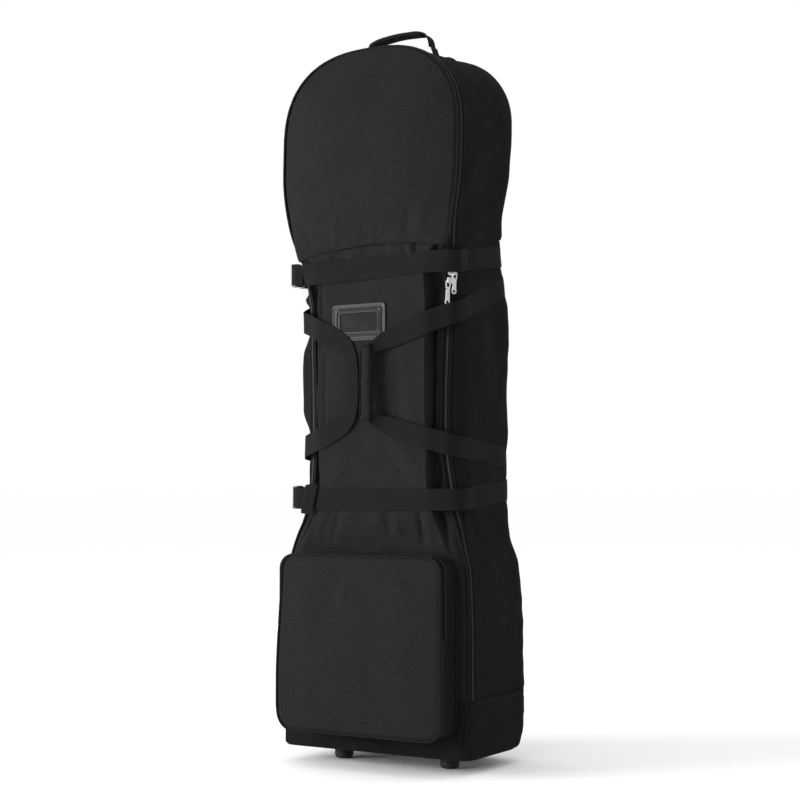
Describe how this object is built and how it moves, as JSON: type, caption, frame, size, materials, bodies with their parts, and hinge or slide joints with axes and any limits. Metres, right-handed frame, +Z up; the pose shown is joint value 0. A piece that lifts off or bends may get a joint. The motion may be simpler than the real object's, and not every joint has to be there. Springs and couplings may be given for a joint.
{
  "type": "golf travel case",
  "caption": "Tall wheeled soft case for a golf bag: zipped front with a fold-down hood, front pocket, cinch straps, carry loops and a top handle.",
  "frame": {"origin": "middle of the footprint on the ground", "axes": "+Z up, -Y to the front with the pocket, +X towards the side with the main zip's sliders"},
  "size_m": [0.3856, 0.3062, 1.3425],
  "materials": {
    "shell_fabric": "woven polyester, matt",
    "gusset_fabric": "woven polyester, matt",
    "webbing": "ribbed nylon webbing, slight sheen",
    "zip_tape": "woven zip tape with coil",
    "piping": "bound piping cord",
    "trim_leather": "embossed leatherette, satin",
    "window": "smoked clear vinyl, glossy",
    "buckle_plastic": "moulded acetal, glossy",
    "hard_plastic": "moulded, fine texture",
    "wheel_tyre": "polyurethane, satin",
    "foot_rubber": "moulded rubber, matt",
    "bearing_steel": "ground steel",
    "zip_metal": "nickel plated, polished",
    "board": "stiff base board"
  },
  "bodies": {
    "case": {"front_panel": "shell_fabric", "pocket_rear": "shell_fabric", "pocket_front": "shell_fabric", "back_panel": "gusset_fabric", "hood_back": "gusset_fabric", "gusset_right": "gusset_fabric", "gusset_left": "gusset_fabric", "gusset_hood": "gusset_fabric", "base_tub": "gusset_fabric", "strap_upper": "webbing", "strap_lower": "webbing", "strap_lower_tail": "webbing", "loop_left": "webbing", "loop_right_upper": "webbing", "loop_right_lower": "webbing", "handle_anchor_left": "webbing", "handle_anchor_right": "webbing", "inner_strap": "webbing", "zip_tape_front_right": "zip_tape", "zip_tape_front_left": "zip_tape", "zip_tape_rear": "zip_tape", "piping_right": "piping", "piping_left": "piping", "pocket_piping_front": "piping", "id_frame": "trim_leather", "id_window": "window", "buckle_upper_female": "buckle_plastic", "buckle_lower_female": "buckle_plastic", "housing_right": "hard_plastic", "housing_left": "hard_plastic", "foot_right": "foot_rubber", "foot_left": "foot_rubber", "axle_right": "bearing_steel", "axle_left": "bearing_steel", "base_board": "board"},
    "hood": {"hood_panel": "shell_fabric", "zip_tape_hood_front": "zip_tape", "piping_hood": "piping"},
    "pocket_flap": {"pocket_flap": "shell_fabric", "pocket_piping_flap": "piping"},
    "wheel_right": {"tyre_right": "wheel_tyre", "hub_right": "hard_plastic", "bearing_right": "bearing_steel"},
    "wheel_left": {"tyre_left": "wheel_tyre", "hub_left": "hard_plastic", "bearing_left": "bearing_steel"},
    "top_handle": {"top_handle": "webbing", "top_handle_grip": "shell_fabric"},
    "grip": {"grip_wrap": "shell_fabric", "grip_webbing": "webbing"},
    "zip_upper_slider": {"zip_upper_slider": "zip_metal"},
    "zip_upper_pull": {"zip_upper_pull": "zip_metal"},
    "zip_lower_slider": {"zip_lower_slider": "zip_metal"},
    "zip_lower_pull": {"zip_lower_pull": "zip_metal"},
    "zip_pocket_slider": {"zip_pocket_slider": "zip_metal"},
    "zip_pocket_pull": {"zip_pocket_pull": "zip_metal"},
    "buckle_upper_male": {"buckle_upper_male": "buckle_plastic", "strap_upper_end": "webbing"},
    "buckle_lower_male": {"buckle_lower_male": "buckle_plastic", "strap_lower_end": "webbing"}
  },
  "joints": [
    {"name": "hood_fold", "type": "hinge", "parent": "case", "child": "hood", "pos_m": [0, -0.1064, 0.921], "axis": [1, 0, 0], "range_deg": [0, 110]},
    {"name": "pocket_fold", "type": "hinge", "parent": "case", "child": "pocket_flap", "pos_m": [0, -0.1498, 0.235], "axis": [1, 0, 0], "range_deg": [0, 75]},
    {"name": "wheel_right_spin", "type": "hinge", "parent": "case", "child": "wheel_right", "pos_m": [0.105, 0.1035, 0.027], "axis": [1, 0, 0], "continuous": true},
    {"name": "wheel_left_spin", "type": "hinge", "parent": "case", "child": "wheel_left", "pos_m": [-0.105, 0.1035, 0.027], "axis": [1, 0, 0], "continuous": true},
    {"name": "top_handle_swing", "type": "hinge", "parent": "case", "child": "top_handle", "pos_m": [0, 0.0195, 1.31], "axis": [1, 0, 0], "range_deg": [-55, 55]},
    {"name": "grip_lift", "type": "slide", "parent": "case", "child": "grip", "axis": [0, -1, 0], "range_m": [0, 0.04]},
    {"name": "zip_upper_run", "type": "slide", "parent": "case", "child": "zip_upper_slider", "axis": [0.1731, -0.1408, 0.9748], "range_m": [0, 0.014]},
    {"name": "zip_upper_pull_swing", "type": "hinge", "parent": "zip_upper_slider", "child": "zip_upper_pull", "pos_m": [0.16042, -0.07625, 0.87317], "axis": [-0.6828, -0.7298, 0.0334], "range_deg": [0, 8]},
    {"name": "zip_lower_run", "type": "slide", "parent": "case", "child": "zip_lower_slider", "axis": [-0.0544, 0.0081, -0.9985], "range_m": [0, 0.185]},
    {"name": "zip_lower_pull_swing", "type": "hinge", "parent": "zip_lower_slider", "child": "zip_lower_pull", "pos_m": [0.14916, -0.08134, 0.85951], "axis": [-0.883, -0.4668, 0.0492], "range_deg": [0, 80]},
    {"name": "zip_pocket_run", "type": "slide", "parent": "case", "child": "zip_pocket_slider", "axis": [0, 0, 1], "range_m": [0, 0.095]},
    {"name": "zip_pocket_pull_swing", "type": "hinge", "parent": "zip_pocket_slider", "child": "zip_pocket_pull", "pos_m": [-0.1764, -0.1315, 0.244], "axis": [0, 1, 0], "range_deg": [0, 80]},
    {"name": "buckle_upper_release", "type": "slide", "parent": "case", "child": "buckle_upper_male", "axis": [0, 1, 0], "range_m": [0, 0.025]},
    {"name": "buckle_lower_release", "type": "slide", "parent": "case", "child": "buckle_lower_male", "axis": [0, 1, 0], "range_m": [0, 0.025]}
  ]
}
